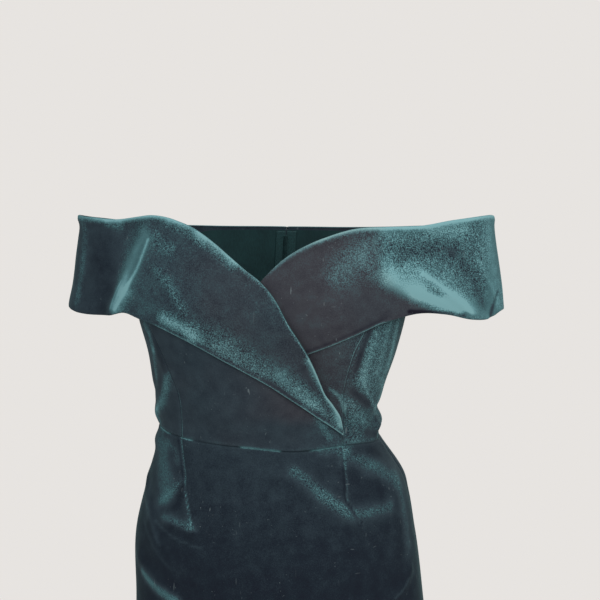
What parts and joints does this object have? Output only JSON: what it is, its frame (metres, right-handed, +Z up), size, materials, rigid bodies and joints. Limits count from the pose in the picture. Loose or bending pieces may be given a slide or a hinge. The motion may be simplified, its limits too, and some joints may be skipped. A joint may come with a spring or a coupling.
{
  "type": "velvet sheath dress",
  "caption": "Fitted velvet dress with princess seams, a waist seam and a folded-over band that wraps across the front and round both upper arms.",
  "frame": {"origin": "midway between the two arm loops, level with the top edge of the band, where the wearer's shoulders hold the dress", "axes": "+Z up along the wearer, -Y is the front of the dress, +X is the wearer's left"},
  "size_m": [0.4545, 0.24, 0.7954],
  "materials": {
    "velvet": "dark teal velvet with a soft pile sheen",
    "band_velvet": "the same teal velvet, doubled over a rolled edge",
    "zip": "teal enamel"
  },
  "bodies": {
    "dress": {"bodice_front_right": "velvet", "bodice_front_left": "velvet", "bodice_side_front_right": "velvet", "bodice_side_front_left": "velvet", "bodice_back_right": "velvet", "bodice_back_left": "velvet", "skirt_front": "velvet", "skirt_back_right": "velvet", "skirt_back_left": "velvet", "band_right": "band_velvet", "band_left": "band_velvet", "zip_slider": "zip"},
    "pull": {"zip_pull": "zip"}
  },
  "joints": [
    {"name": "pull_swing", "type": "hinge", "parent": "dress", "child": "pull", "pos_m": [-0.01226, 0.10241, -0.0275], "axis": [1, 0, 0], "range_deg": [0, 150]}
  ]
}
